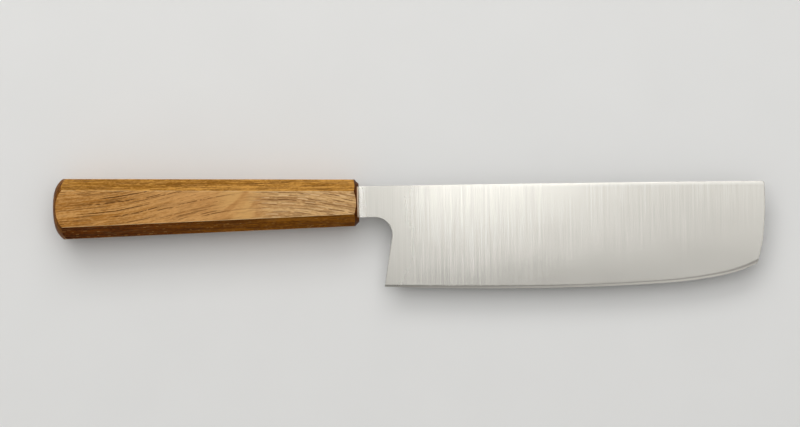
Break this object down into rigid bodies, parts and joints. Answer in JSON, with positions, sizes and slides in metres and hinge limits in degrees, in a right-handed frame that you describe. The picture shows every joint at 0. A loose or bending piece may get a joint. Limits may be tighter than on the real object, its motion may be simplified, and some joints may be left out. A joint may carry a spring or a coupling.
{
  "type": "nakiri knife",
  "caption": "Straight-edged vegetable knife with a satin steel blade, a finger choil at the heel and an octagonal wooden handle.",
  "frame": {"origin": "Centre of the bounding box in X and Y, at the height of the lowest line of the handle.", "axes": "X runs along the handle from its butt to the blade's nose, Y from the cutting edge to the spine, and Z is square to the blade's middle plane, up from the flat surface that the handle lies on."},
  "size_m": [0.3068, 0.0516, 0.022],
  "materials": {
    "blade_steel": "fine satin, brushed from spine to edge",
    "handle_wood": "oiled, with fine dark pores",
    "cured_resin": "cured clear amber resin",
    "seal_resin": "smooth pale beige resin"
  },
  "bodies": {
    "root": {"blade": "blade_steel", "handle": "handle_wood", "tang_adhesive": "cured_resin", "mouth_seal": "seal_resin"}
  },
  "joints": []
}
